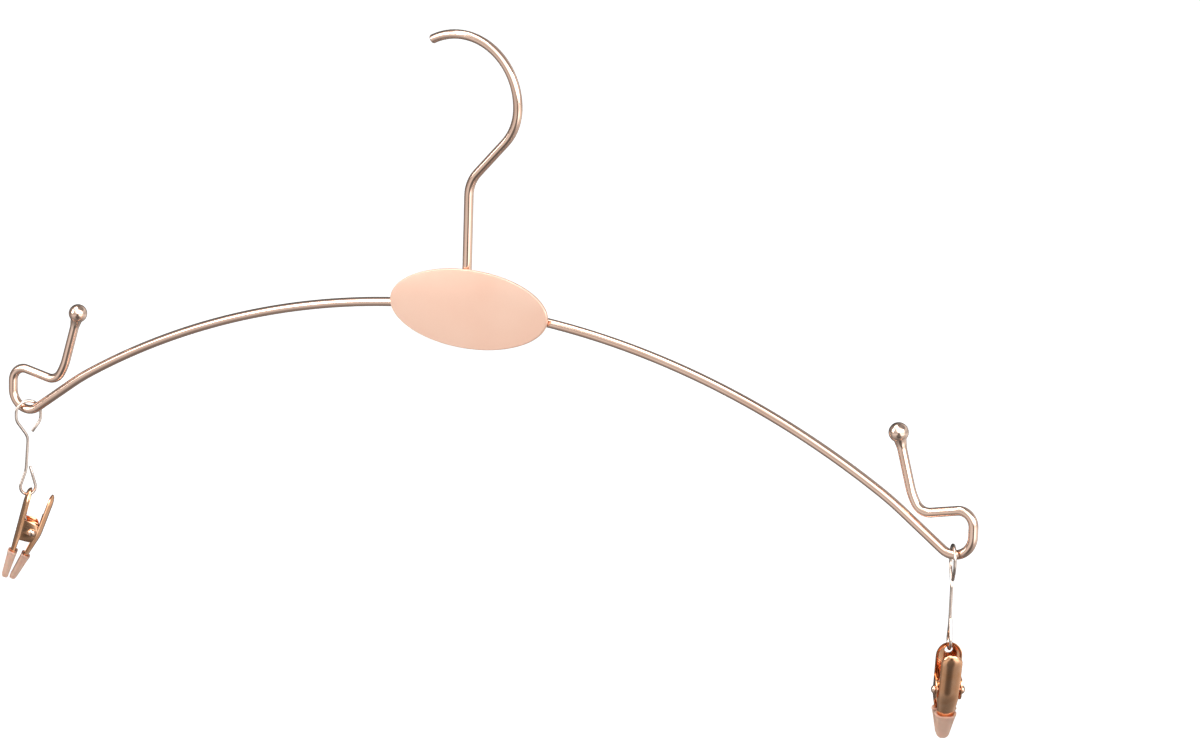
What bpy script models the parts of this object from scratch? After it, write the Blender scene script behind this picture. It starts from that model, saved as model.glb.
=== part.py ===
"""Wire drying hanger with an oval plate and two sprung clips on swinging links.

Metres, +Z up, the front faces -Y. The origin is the seat of the rail, at the inner top of the hook.
"""

import math

import bmesh
import bpy
from mathutils import Matrix, Vector

for leftover in list(bpy.data.objects):
    bpy.data.objects.remove(leftover, do_unlink=True)

# Shared clearances
SEAT_GAP = 0.0003
RUNNING_GAP = 0.00007

# Hook and frame wire
WIRE_DIAMETER = 0.0030
HOOK_RADIUS = 0.0220
HOOK_TIP_ANGLE = math.radians(28.0)
HOOK_LOWER_RADIUS = 0.0160
HOOK_NECK_RADIUS = 0.0110
HOOK_NECK_ANGLE = math.radians(43.0)
HOOK_NECK_RUN = 0.0146
HOOK_STEM_RUN = 0.0343
HOOK_FOOT_ASIDE = -0.0017

# Arms, end loops and upright stems
ARM_RADIUS = 0.2970
ARM_ANGLE = math.radians(29.9)
ARM_END_RADIUS = 0.1000
ARM_END_ANGLE = math.radians(5.3)
ARM_END_RUN = 0.0172
LOOP_LOWER_RADIUS = 0.0064
LOOP_SIDE_RUN = 0.0029
LOOP_UPPER_RADIUS = 0.0046
LOOP_RETURN_ANGLE = math.radians(11.5)
LOOP_RETURN_RUN = 0.0092
NOTCH_RADIUS = 0.0049
NOTCH_ANGLE = math.radians(58.0)
STEM_BEND_RADIUS = 0.0200
STEM_BEND_ANGLE = math.radians(16.0)
STEM_RUN = 0.0119

# Ball tips
BALL_DIAMETER = 0.0062
BALL_NECK_DIAMETER = 0.0040
BALL_NECK_LENGTH = 0.0022

# Oval plate
PLATE_WIDTH = 0.0586
PLATE_HEIGHT = 0.0256
PLATE_THICKNESS = 0.0012
PLATE_EDGE_RADIUS = 0.0004
PLATE_ASIDE = 0.0006

# Links
LINK_WIRE_DIAMETER = 0.0010
LINK_RIDE_GAP = 0.0009
LINK_UPPER_RADIUS = 0.0042
LINK_UPPER_SIDE = 0.0010
LINK_SHOULDER_RADIUS = 0.0045
LINK_SHOULDER_ANGLE = math.radians(36.0)
LINK_CLOSING_RUN = 0.0038
LINK_END_RUN = 0.0034
LINK_WAIST_RADIUS = 0.0050
LINK_WAIST_ANGLE = math.radians(39.0)
LINK_BACKBONE_RUN = 0.0084
LINK_SPLAY_RADIUS = 0.0100
LINK_SPLAY_ANGLE = math.radians(17.0)
LINK_SPLAY_RUN = 0.0036
LINK_LOWER_RADIUS = 0.0026
LINK_LOWER_CLOSING_ANGLE = math.radians(16.0)
LINK_LOWER_END_RUN = 0.0066
LEFT_TURN = math.radians(48.0)
RIGHT_TURN = math.radians(-55.0)

# Clip jaws
JAW_SHEET = 0.0005
HANGING_JAW_LENGTH = 0.0310
HANGING_JAW_WIDTH = 0.0082
HANGING_JAW_DEPTH = 0.0021
JAW_TIP_WIDTH = 0.0028
JAW_TIP_DEPTH = 0.0008
JAW_TAPER_LENGTH = 0.0140
LINK_HOLE_DIAMETER = 0.0025
LINK_HOLE_BELOW_TOP = 0.0028
EAR_LENGTH = 0.0070
EAR_REACH = 0.0073
EAR_ROUND = 0.0022
DOME_SET_BACK = 0.00045
PIN_HEIGHT = 0.0170
PIN_DEPTH = 0.0055
CLIP_TILT = math.radians(14.0)
LEFT_CLIP_TWIST = math.radians(-16.0)
RIGHT_CLIP_TWIST = math.radians(0.0)

# Front jaw, measured from the pin
FRONT_JAW_ANGLE = math.radians(18.0)
FRONT_JAW_SPINE = 0.0034
FRONT_JAW_DEPTH = 0.0019
FRONT_JAW_ABOVE = 0.0139
FRONT_JAW_KNEE = math.radians(12.0)
FRONT_JAW_BELOW = 0.0168
FRONT_EAR_RADIUS = 0.0022
LEVER_DOME_FORWARD = 0.0010

# Hinge pin and torsion spring
PIN_DIAMETER = 0.0018
PIN_HEAD_DIAMETER = 0.0026
PIN_HEAD_HEIGHT = 0.0012
SPRING_WIRE_DIAMETER = 0.0007
SPRING_RADIUS = 0.00175
SPRING_PITCH = 0.00115
SPRING_CURLS = 3
SPRING_LEG = 0.0060

# Tip sleeves
SLEEVE_LENGTH = 0.0086
SLEEVE_WALL = 0.0005
SLEEVE_END = 0.0012
SLEEVE_BEAD = 0.00018
SLEEVE_BEAD_LENGTH = 0.0007

# Fineness of the curves, as counts
WIRE_SIDES = 12
THIN_SIDES = 8
LOOP_STEPS = 24
WIDE_STEPS = 44
ARM_STEPS = 240
CURL_STEPS = 10
ROUND_SIDES = 24
PLATE_SIDES = 64
ACROSS = 10

wire_radius = WIRE_DIAMETER / 2
link_radius = LINK_WIRE_DIAMETER / 2
pin_radius = PIN_DIAMETER / 2
half_sheet = JAW_SHEET / 2
ear_half = EAR_LENGTH / 2
ear_gap = SEAT_GAP + JAW_SHEET
front_jaw_width = HANGING_JAW_WIDTH - 2 * ear_gap


def material(name, colour, metallic, roughness):
    made = bpy.data.materials.new(name)
    made.use_nodes = True
    shader = made.node_tree.nodes["Principled BSDF"]
    shader.inputs["Base Color"].default_value = (*colour, 1.0)
    shader.inputs["Metallic"].default_value = metallic
    shader.inputs["Roughness"].default_value = roughness
    return made


rose_wire = material("rose_wire", (0.80, 0.55, 0.44), 1.0, 0.16)
satin_plate = material("satin_plate", (0.88, 0.66, 0.56), 1.0, 0.30)
ball_finish = material("ball_finish", (0.82, 0.58, 0.47), 1.0, 0.12)
link_finish = material("link_finish", (0.78, 0.56, 0.46), 1.0, 0.18)
jaw_finish = material("jaw_finish", (0.62, 0.36, 0.22), 1.0, 0.20)
pin_finish = material("pin_finish", (0.70, 0.48, 0.38), 1.0, 0.22)
spring_finish = material("spring_finish", (0.52, 0.46, 0.42), 1.0, 0.28)
sleeve_finish = material("sleeve_finish", (0.55, 0.33, 0.25), 0.0, 0.38)


class Bender:
    """A wire laid out flat: runs and bends from a start point and a heading."""

    def __init__(self, start, heading):
        self.at = Vector(start)
        self.heading = heading
        self.points = [self.at.copy()]
        self.centre = None

    def run(self, length):
        self.at = self.at + length * Vector((math.cos(self.heading), math.sin(self.heading)))
        self.points.append(self.at.copy())
        return self

    def bend(self, radius, angle, per_turn=LOOP_STEPS):
        """Positive angles bend to the left of the heading."""
        side = math.copysign(1, angle)
        left = Vector((-math.sin(self.heading), math.cos(self.heading)))
        self.centre = self.at + side * radius * left
        steps = max(1, round(abs(angle) / math.tau * per_turn))
        for step in range(steps):
            self.heading += angle / steps
            left = Vector((-math.sin(self.heading), math.cos(self.heading)))
            self.at = self.centre - side * radius * left
            self.points.append(self.at.copy())
        return self


def finish(node, finish_material):
    node.data.materials.append(finish_material)
    return node


def tube(name, points, radius, sides, finish_material, place=Matrix()):
    """A round wire through the points, closed flat at both ends."""
    curve = bpy.data.curves.new(name, "CURVE")
    curve.dimensions = "3D"
    curve.bevel_depth = radius
    curve.bevel_resolution = (sides - 4) // 2
    curve.use_fill_caps = True
    spline = curve.splines.new("POLY")
    spline.points.add(len(points) - 1)
    for spot, point in zip(spline.points, points):
        spot.co = (*point, 1.0)
    node = bpy.data.objects.new(name, curve)
    bpy.context.collection.objects.link(node)
    node.matrix_world = place
    return finish(node, finish_material)


def mesh_node(name, shape, finish_material, place=Matrix(), sharp=math.radians(35.0)):
    """A node from a bmesh, with outward faces and smooth round sides."""
    bmesh.ops.recalc_face_normals(shape, faces=shape.faces)
    for face in shape.faces:
        face.smooth = True
    data = bpy.data.meshes.new(name)
    shape.to_mesh(data)
    shape.free()
    data.set_sharp_from_angle(angle=sharp)
    node = bpy.data.objects.new(name, data)
    bpy.context.collection.objects.link(node)
    node.matrix_world = place
    return finish(node, finish_material)


def apply_modifiers(node):
    graph = bpy.context.evaluated_depsgraph_get()
    solid = bpy.data.meshes.new_from_object(node.evaluated_get(graph))
    node.modifiers.clear()
    node.data = solid
    solid.set_sharp_from_angle(angle=math.radians(35.0))


def lathe(name, profile, finish_material, place):
    """Turns (radius, height) pairs about the local Z axis into one closed body."""
    shape = bmesh.new()
    spots = [shape.verts.new((radius, 0, height)) for radius, height in profile]
    edges = [shape.edges.new(pair) for pair in zip(spots, spots[1:])]
    bmesh.ops.spin(
        shape,
        geom=spots + edges,
        axis=(0, 0, 1),
        cent=(0, 0, 0),
        angle=math.tau,
        steps=ROUND_SIDES,
        use_merge=True,
    )
    bmesh.ops.remove_doubles(shape, verts=shape.verts, dist=RUNNING_GAP / 10)
    return mesh_node(name, shape, finish_material, place)


def loft(name, rings, finish_material, place):
    """Joins closed rings of points in order, capped at the first and the last."""
    shape = bmesh.new()
    rows = [[shape.verts.new(point) for point in ring] for ring in rings]
    for lower, upper in zip(rows, rows[1:]):
        for here in range(len(lower)):
            after = (here + 1) % len(lower)
            shape.faces.new((lower[here], lower[after], upper[after], upper[here]))
    shape.faces.new(rows[0])
    shape.faces.new(rows[-1])
    return mesh_node(name, shape, finish_material, place)


# Hook wire: from the free tip over the seat and down the neck to the stem's cut end
top = Vector((0, wire_radius))
tip_side = Bender(top, math.pi).bend(HOOK_RADIUS, HOOK_TIP_ANGLE, WIDE_STEPS)
neck_side = Bender(top, 0)
neck_side.bend(HOOK_RADIUS, -math.pi / 2, WIDE_STEPS)
neck_side.bend(HOOK_LOWER_RADIUS, -HOOK_NECK_ANGLE, WIDE_STEPS)
neck_side.run(HOOK_NECK_RUN)
neck_side.bend(HOOK_NECK_RADIUS, HOOK_NECK_ANGLE, WIDE_STEPS)
neck_side.run(HOOK_STEM_RUN)
hook_line = tip_side.points[:0:-1] + neck_side.points
hook_points = [Vector((x, 0, z)) for x, z in hook_line]
tube("hook_wire", hook_points, wire_radius, WIRE_SIDES, rose_wire)
stem_x, stem_foot = neck_side.at
middle = Vector((stem_x - HOOK_FOOT_ASIDE, 0, stem_foot - wire_radius - SEAT_GAP))

# Frame wire: one half is bent from the middle outwards, the other is its mirror image
half = Bender((0, 0), 0)
half.bend(ARM_RADIUS, -ARM_ANGLE, ARM_STEPS)
half.bend(ARM_END_RADIUS, -ARM_END_ANGLE, ARM_STEPS)
half.run(ARM_END_RUN)
half.bend(LOOP_LOWER_RADIUS, ARM_ANGLE + ARM_END_ANGLE)
loop_foot = half.at.copy()
half.bend(LOOP_LOWER_RADIUS, math.pi / 2)
half.run(LOOP_SIDE_RUN)
half.bend(LOOP_UPPER_RADIUS, math.pi / 2 + LOOP_RETURN_ANGLE)
half.run(LOOP_RETURN_RUN)
half.bend(NOTCH_RADIUS, -LOOP_RETURN_ANGLE - NOTCH_ANGLE)
half.bend(STEM_BEND_RADIUS, -STEM_BEND_ANGLE, 3 * LOOP_STEPS)
half.run(STEM_RUN)
right_half = [middle + Vector((x, 0, z)) for x, z in half.points]
left_half = [middle + Vector((-x, 0, z)) for x, z in half.points]
tube("frame_wire", left_half[:0:-1] + right_half, wire_radius, WIRE_SIDES, rose_wire)

# Oval plate: a thin blank oval whose back touches both wires
shape = bmesh.new()
bmesh.ops.create_cone(
    shape,
    cap_ends=True,
    segments=PLATE_SIDES,
    radius1=PLATE_WIDTH / 2,
    radius2=PLATE_WIDTH / 2,
    depth=PLATE_THICKNESS,
)
bmesh.ops.scale(shape, vec=(1, PLATE_HEIGHT / PLATE_WIDTH, 1), verts=shape.verts)
bmesh.ops.rotate(shape, matrix=Matrix.Rotation(math.pi / 2, 3, "X"), verts=shape.verts)
plate_y = -(wire_radius + SEAT_GAP + PLATE_THICKNESS / 2)
plate_centre = middle + Vector((PLATE_ASIDE, plate_y, 0))
plate = mesh_node("oval_plate", shape, satin_plate, Matrix.Translation(plate_centre))
edge = plate.modifiers.new("edge", "BEVEL")
edge.width = PLATE_EDGE_RADIUS
edge.segments = 3
edge.angle_limit = math.radians(60.0)
edge.limit_method = "ANGLE"
apply_modifiers(plate)


def ball_tip(name, mirror):
    """A turned ball on a short tapered neck, seated on the cut end of the upright stem."""
    ball_radius = BALL_DIAMETER / 2
    neck_radius = BALL_NECK_DIAMETER / 2
    neck_top = SEAT_GAP + BALL_NECK_LENGTH
    join = math.asin(neck_radius / ball_radius)
    ball_centre = neck_top + ball_radius * math.cos(join)
    profile = [(0, SEAT_GAP), (wire_radius, SEAT_GAP)]
    steps = ROUND_SIDES // 2
    for step in range(steps + 1):
        polar = math.pi - join - step / steps * (math.pi - join)
        height = ball_centre + ball_radius * math.cos(polar)
        profile.append((ball_radius * math.sin(polar), height))
    end = Vector((mirror * half.at.x, 0, half.at.y))
    lean = Matrix.Rotation(mirror * (math.pi / 2 - half.heading), 4, "Y")
    lathe(name, profile, ball_finish, Matrix.Translation(middle + end) @ lean)


ball_tip("left_ball_tip", -1)
ball_tip("right_ball_tip", 1)

# Link: laid out from the top of its upper round, +X towards the front of the clip
link_top = Vector((0, wire_radius + LINK_RIDE_GAP + link_radius))
closed_end = Bender(link_top, 0)
closed_end.bend(LINK_UPPER_RADIUS, -math.pi / 2)
closed_end.run(LINK_UPPER_SIDE)
closed_end.bend(LINK_SHOULDER_RADIUS, -LINK_SHOULDER_ANGLE)
closed_end.run(LINK_END_RUN)
backbone = Bender(link_top, math.pi)
backbone.bend(LINK_UPPER_RADIUS, math.pi / 2)
backbone.run(LINK_UPPER_SIDE)
backbone.bend(LINK_SHOULDER_RADIUS, LINK_SHOULDER_ANGLE)
backbone.run(LINK_CLOSING_RUN)
backbone.bend(LINK_WAIST_RADIUS, -LINK_WAIST_ANGLE)
backbone.run(LINK_BACKBONE_RUN)
backbone.bend(LINK_SPLAY_RADIUS, -LINK_SPLAY_ANGLE)
backbone.run(LINK_SPLAY_RUN)
lean = LINK_WAIST_ANGLE + LINK_SPLAY_ANGLE - LINK_SHOULDER_ANGLE
backbone.bend(LINK_LOWER_RADIUS, lean + math.pi + LINK_LOWER_CLOSING_ANGLE)
round_centre = backbone.centre.copy()
backbone.run(LINK_LOWER_END_RUN)
link_line = closed_end.points[:0:-1] + backbone.points
link_points = [Vector((x, 0, z)) for x, z in link_line]


def wide_at(height, length, tip, full):
    """A jaw's width or depth: full above the taper, narrowing to the tip."""
    share = min(1.0, max(0.0, height / length))
    return tip + (full - tip) * share


def channel(rows, width, depth, taper, convex, lean_at, ears, top_round):
    """A bent sheet as a bmesh: rows run up the jaw, columns across it.

    Each row is a half oval that opens towards -convex, and the top rows close in a dome.
    Ears are pulled from the long edges.
    """
    shape = bmesh.new()
    grid = []
    for height in rows:
        half_width = wide_at(height, taper, JAW_TIP_WIDTH, width) / 2 - half_sheet
        rise = wide_at(height, taper, JAW_TIP_DEPTH, depth) - half_sheet
        closing = 1.0
        over = height - (rows[-1] - top_round)
        if over > 0:
            closing = math.sqrt(max(0.0, 1 - (over / top_round) ** 2))
            closing = max(closing, JAW_SHEET / width)
        row = []
        for column in range(ACROSS + 1):
            around = math.pi * (column / ACROSS - 1 / 2)
            depth_here = -convex * (half_sheet + rise * (1 - closing * math.cos(around)))
            depth_here += convex * lean_at(height)
            across = half_width * closing * math.sin(around)
            row.append(shape.verts.new((depth_here, across, height)))
        grid.append(row)
    for lower, upper in zip(grid, grid[1:]):
        for here in range(ACROSS):
            shape.faces.new((lower[here], lower[here + 1], upper[here + 1], upper[here]))
    for side in (0, ACROSS):
        pulled = {}
        for height, row in zip(rows, grid):
            reach = ears(height)
            if reach is not None:
                spot = Vector(row[side].co)
                spot.x = reach
                pulled[height] = shape.verts.new(spot)
        for index in range(len(rows) - 1):
            low, high = rows[index], rows[index + 1]
            if low in pulled and high in pulled:
                corners = (grid[index][side], grid[index + 1][side], pulled[high], pulled[low])
                shape.faces.new(corners)
    return shape


def sheet_node(name, shape, place, holes):
    """Thickens the sheet, then cuts its round holes."""
    node = mesh_node(name, shape, jaw_finish, place)
    thick = node.modifiers.new("thickness", "SOLIDIFY")
    thick.thickness = JAW_SHEET
    thick.offset = 0
    thick.use_even_offset = True
    cutters = []
    for number, (centre, turn, radius) in enumerate(holes):
        drill = bmesh.new()
        bmesh.ops.create_cone(
            drill,
            cap_ends=True,
            segments=ROUND_SIDES,
            radius1=radius,
            radius2=radius,
            depth=2 * HANGING_JAW_WIDTH,
        )
        where = place @ Matrix.Translation(centre) @ turn
        cutter = mesh_node(f"{name}_drill_{number}", drill, jaw_finish, where)
        cutter.hide_render = True
        cutter.display_type = "WIRE"
        cut = node.modifiers.new(f"hole_{number}", "BOOLEAN")
        cut.operation = "DIFFERENCE"
        cut.solver = "EXACT"
        cut.object = cutter
        cutters.append(cutter)
    apply_modifiers(node)
    for cutter in cutters:
        bpy.data.objects.remove(cutter, do_unlink=True)
    return node


def sleeve_ring(half_width, low, high, height, convex):
    """One closed ring, round towards the jaw's spine and flat towards the other jaw."""
    corner = min(half_width, high - low) / 3
    ring = []
    for step in range(ACROSS + 1):
        around = math.pi * (step / ACROSS - 1 / 2)
        deep = high - corner - (high - corner - low) * math.cos(around)
        ring.append((half_width * math.sin(around), deep))
    inner = half_width - corner
    for step in (1, 2):
        around = math.pi / 2 * step / 2
        ring.append((inner + corner * math.cos(around), high - corner + corner * math.sin(around)))
    for step in (0, 1):
        around = math.pi / 2 * (1 - step / 2)
        ring.append((-inner - corner * math.cos(around), high - corner + corner * math.sin(around)))
    return [Vector((-convex * deep, across, height)) for across, deep in ring]


def sleeve(name, foot, width, depth, convex, spine, place):
    """A soft cap over a jaw's tip: a wall round a cavity that clears the jaw."""

    def ring(height, wall, shrink=1.0):
        along = max(0.0, height - foot)
        half_width = wide_at(along, JAW_TAPER_LENGTH, JAW_TIP_WIDTH, width) / 2 + wall
        high = wide_at(along, JAW_TAPER_LENGTH, JAW_TIP_DEPTH, depth) + wall
        mid = (high - wall) / 2
        low = mid - (mid + wall) * shrink
        high = mid + (high - mid) * shrink
        ring_points = sleeve_ring(half_width * shrink, low, high, height, convex)
        return [point + Vector((convex * spine, 0, 0)) for point in ring_points]

    wall = SLEEVE_WALL + SEAT_GAP
    mouth = foot + SLEEVE_LENGTH
    cavity_end = foot - SEAT_GAP
    rings = []
    for step in range(1, 5):
        around = math.pi / 2 * step / 4
        drop = SLEEVE_END * math.cos(around)
        rings.append(ring(foot - drop, wall, math.sqrt(math.sin(around))))
    rings.append(ring(foot + SLEEVE_LENGTH / 2, wall))
    rings.append(ring(mouth - 2 * SLEEVE_BEAD_LENGTH, wall))
    rings.append(ring(mouth - SLEEVE_BEAD_LENGTH, wall + SLEEVE_BEAD))
    rings.append(ring(mouth, wall + SLEEVE_BEAD / 2))
    rings.append(ring(mouth, SEAT_GAP))
    rings.append(ring(foot + SLEEVE_LENGTH / 2, SEAT_GAP))
    rings.append(ring(cavity_end, SEAT_GAP))
    return loft(name, rings, sleeve_finish, place)


def spring_points(hanging_wall, front_wall):
    """The coil round the pin with a leg up each jaw, as points from the pin's middle.

    Each wall is how far the leg's end stands from the pin, across its jaw.
    """
    reach = math.hypot(SPRING_RADIUS, SPRING_LEG)
    phase = math.atan2(SPRING_RADIUS, SPRING_LEG)
    back_slant = math.asin(hanging_wall / reach) - phase
    front_slant = math.asin(front_wall / reach) - phase + FRONT_JAW_ANGLE
    start = math.pi + back_slant
    stop = math.tau * SPRING_CURLS + math.tau - front_slant
    width = SPRING_PITCH * (stop - start) / math.tau
    steps = round((stop - start) / math.tau * CURL_STEPS)
    coil = []
    for step in range(steps + 1):
        around = start + (stop - start) * step / steps
        across = width * (step / steps - 1 / 2)
        spot = Vector((math.cos(around), 0, math.sin(around))) * SPRING_RADIUS
        coil.append(spot + Vector((0, across, 0)))
    up_back = Vector((-math.sin(back_slant), 0, math.cos(back_slant)))
    up_front = Vector((math.sin(front_slant), 0, math.cos(front_slant)))
    return [coil[0] + SPRING_LEG * up_back] + coil + [coil[-1] + SPRING_LEG * up_front]


def least_gap(points, diameter):
    """The least clear distance between parts of the coil that are half a curl or more apart."""
    apart = CURL_STEPS // 2
    least = None
    for first in range(len(points)):
        for second in range(first + apart, len(points)):
            clear = (points[first] - points[second]).length - diameter
            least = clear if least is None else min(least, clear)
    return least


def hanging_rows():
    round_top = HANGING_JAW_WIDTH / 2
    high_ear = PIN_HEIGHT + ear_half
    rows = [JAW_TAPER_LENGTH * step / 4 for step in range(4)]
    rows += [PIN_HEIGHT - ear_half * math.cos(math.pi * step / 10) for step in range(11)]
    straight_top = HANGING_JAW_LENGTH - round_top
    rows += [high_ear + (straight_top - high_ear) * step / 2 for step in (1, 2)]
    rows += [straight_top + round_top * math.sin(math.pi / 2 * step / 8) for step in range(1, 9)]
    return rows


def front_rows():
    round_top = front_jaw_width / 2
    ear = FRONT_EAR_RADIUS
    rows = [JAW_TAPER_LENGTH * step / 4 - FRONT_JAW_BELOW for step in range(5)]
    rows = [row for row in rows if row < -ear - JAW_SHEET]
    rows += [-ear * math.cos(math.pi * step / 8) for step in range(9)]
    straight_top = FRONT_JAW_ABOVE - round_top
    rows += [ear + (straight_top - ear) * step / 2 for step in (1, 2)]
    rows += [straight_top + round_top * math.sin(math.pi / 2 * step / 8) for step in range(1, 9)]
    return [row + FRONT_JAW_BELOW for row in rows]


def set_back(height):
    """How far the hanging jaw's dome is set back from the link as it closes."""
    round_top = HANGING_JAW_WIDTH / 2
    over = max(0.0, height - (HANGING_JAW_LENGTH - round_top))
    return DOME_SET_BACK * (over / round_top) ** 2


def lever(height):
    """How far the front jaw stands forward: it leans back above its knee, less at its dome."""
    round_top = front_jaw_width / 2
    above_pin = max(0.0, height - FRONT_JAW_BELOW)
    over = max(0.0, above_pin - (FRONT_JAW_ABOVE - round_top))
    return LEVER_DOME_FORWARD * (over / round_top) ** 2 - above_pin * math.tan(FRONT_JAW_KNEE)


def outer_ear(height):
    """The reach of the hanging jaw's ear at a height up the jaw, or None beside it."""
    off = abs(height - PIN_HEIGHT)
    if off > ear_half + RUNNING_GAP:
        return None
    bow = math.sqrt(max(0.0, 1 - (off / ear_half) ** 2))
    return EAR_REACH - EAR_ROUND * (1 - bow)


def inner_ear(height):
    """The reach of the front jaw's ear past the pin, measured from its spine."""
    off = abs(height - FRONT_JAW_BELOW)
    if off > FRONT_EAR_RADIUS + RUNNING_GAP:
        return None
    bow = math.sqrt(max(0.0, FRONT_EAR_RADIUS**2 - off**2))
    return -FRONT_JAW_SPINE - bow


def clip(side, turn, twist, foot):
    """One link with its clip, hung on the frame wire at the foot of an end loop.

    The link is turned on the wire, and the clip is twisted a little further in the link.
    """
    hang = Matrix.Translation(foot) @ Matrix.Rotation(turn, 4, "Z")
    tube(f"{side}_link", link_points, link_radius, THIN_SIDES, link_finish, hang)

    # The clip swings about the middle of the link's lower round
    swing = hang @ Matrix.Translation((round_centre.x, 0, round_centre.y))
    tilt = swing @ Matrix.Rotation(twist, 4, "Z") @ Matrix.Rotation(CLIP_TILT, 4, "Y")
    hole_centre = HANGING_JAW_LENGTH - LINK_HOLE_BELOW_TOP
    rides_at = LINK_HOLE_DIAMETER / 2 - link_radius - SEAT_GAP
    hang_drop = LINK_LOWER_RADIUS + rides_at + hole_centre
    jaw_base = Vector((-half_sheet, 0, -hang_drop))
    into_jaw = Matrix.Translation(jaw_base)

    # Hanging jaw: the domed top with the link hole, the taper to the tip and two outer ears
    shape = channel(
        hanging_rows(),
        HANGING_JAW_WIDTH,
        HANGING_JAW_DEPTH,
        JAW_TAPER_LENGTH,
        -1,
        set_back,
        outer_ear,
        HANGING_JAW_WIDTH / 2,
    )
    bmesh.ops.transform(shape, matrix=into_jaw, verts=shape.verts)
    pin_at = jaw_base + Vector((PIN_DEPTH, 0, PIN_HEIGHT))
    across = Matrix.Rotation(math.pi / 2, 4, "X")
    through = Matrix.Rotation(math.pi / 2, 4, "Y")
    holes = [
        (jaw_base + Vector((0, 0, hole_centre)), through, LINK_HOLE_DIAMETER / 2),
        (pin_at, across, pin_radius + RUNNING_GAP),
    ]
    sheet_node(f"{side}_hanging_jaw", shape, tilt, holes)

    # Front jaw: turned about the pin so that the sleeved tips close
    at_pin = tilt @ Matrix.Translation(pin_at) @ Matrix.Rotation(FRONT_JAW_ANGLE, 4, "Y")
    shape = channel(
        front_rows(),
        front_jaw_width,
        FRONT_JAW_DEPTH,
        JAW_TAPER_LENGTH,
        1,
        lever,
        inner_ear,
        front_jaw_width / 2,
    )
    into_front = Matrix.Translation((FRONT_JAW_SPINE, 0, -FRONT_JAW_BELOW))
    bmesh.ops.transform(shape, matrix=into_front, verts=shape.verts)
    sheet_node(
        f"{side}_front_jaw", shape, at_pin, [(Vector(), across, pin_radius + RUNNING_GAP)]
    )

    # Hinge pin with a domed head outside each outer ear
    shoulder = HANGING_JAW_WIDTH / 2 + RUNNING_GAP
    head_radius = PIN_HEAD_DIAMETER / 2
    dome = []
    for step in range(ROUND_SIDES // 4 + 1):
        around = math.pi / 2 * step / (ROUND_SIDES // 4)
        dome.append(
            (head_radius * math.cos(around), shoulder + PIN_HEAD_HEIGHT * math.sin(around))
        )
    upper = [(pin_radius, shoulder)] + dome
    profile = [(radius, -height) for radius, height in reversed(upper)] + upper
    lathe(f"{side}_hinge_pin", profile, pin_finish, tilt @ Matrix.Translation(pin_at) @ across)

    # Torsion spring: the coil clears the pin, and each leg lies inside its jaw
    leg_seat = JAW_SHEET + SEAT_GAP + SPRING_WIRE_DIAMETER / 2
    dish = SPRING_WIRE_DIAMETER
    back_wall = PIN_DEPTH - leg_seat - dish
    front_wall = FRONT_JAW_SPINE + lever(FRONT_JAW_BELOW + SPRING_LEG) - leg_seat - dish
    points = spring_points(back_wall, front_wall)
    tube(
        f"{side}_torsion_spring",
        points,
        SPRING_WIRE_DIAMETER / 2,
        6,
        spring_finish,
        tilt @ Matrix.Translation(pin_at),
    )
    print(f"{side} spring, least gap to itself in metres:", least_gap(points, SPRING_WIRE_DIAMETER))

    # Soft sleeves on both tips
    sleeve(
        f"{side}_hanging_sleeve",
        0,
        HANGING_JAW_WIDTH,
        HANGING_JAW_DEPTH,
        -1,
        0,
        tilt @ into_jaw,
    )
    sleeve(
        f"{side}_front_sleeve",
        -FRONT_JAW_BELOW,
        front_jaw_width,
        FRONT_JAW_DEPTH,
        1,
        FRONT_JAW_SPINE,
        at_pin,
    )


clip("left", LEFT_TURN, LEFT_CLIP_TWIST, middle + Vector((-loop_foot.x, 0, loop_foot.y)))
clip("right", RIGHT_TURN, RIGHT_CLIP_TWIST, middle + Vector((loop_foot.x, 0, loop_foot.y)))
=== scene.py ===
import math

import bmesh
import bpy
from mathutils import Matrix, Vector


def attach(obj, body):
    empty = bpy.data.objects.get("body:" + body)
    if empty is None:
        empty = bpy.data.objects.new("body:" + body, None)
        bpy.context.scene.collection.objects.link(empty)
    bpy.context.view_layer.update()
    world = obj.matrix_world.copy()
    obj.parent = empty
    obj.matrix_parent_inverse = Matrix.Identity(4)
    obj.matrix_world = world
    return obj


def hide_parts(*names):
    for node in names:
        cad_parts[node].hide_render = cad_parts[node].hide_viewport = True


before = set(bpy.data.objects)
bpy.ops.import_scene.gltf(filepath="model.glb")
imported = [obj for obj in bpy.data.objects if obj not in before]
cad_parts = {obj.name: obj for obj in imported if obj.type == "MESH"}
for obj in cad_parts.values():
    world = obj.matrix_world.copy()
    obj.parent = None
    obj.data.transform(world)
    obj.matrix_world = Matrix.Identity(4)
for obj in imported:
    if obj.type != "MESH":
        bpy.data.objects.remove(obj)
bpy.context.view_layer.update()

# Camera: a long lens a little above the hanger, off to its right, that looks back
# across the front of the plate. The small roll is the one the photograph has.
heading, drop, roll = math.radians(29.71), math.radians(11.37), math.radians(1.73)
ahead = Vector((-math.sin(heading), math.cos(heading), 0)) * math.cos(drop)
ahead.z = -math.sin(drop)
level = Vector((math.cos(heading), math.sin(heading), 0))
upright = level.cross(ahead)
aside = math.cos(roll) * level + math.sin(roll) * upright
upwards = math.cos(roll) * upright - math.sin(roll) * level
stand = (0.81786, -1.33752, 0.20857)
bpy.ops.object.camera_add(location=stand)
camera = bpy.context.object
camera.rotation_euler = Matrix((aside, upwards, -ahead)).transposed().to_euler()
camera.data.lens = 149.8
camera.data.sensor_width = 36
camera.data.clip_end = 60
bpy.context.scene.camera = camera


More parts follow.
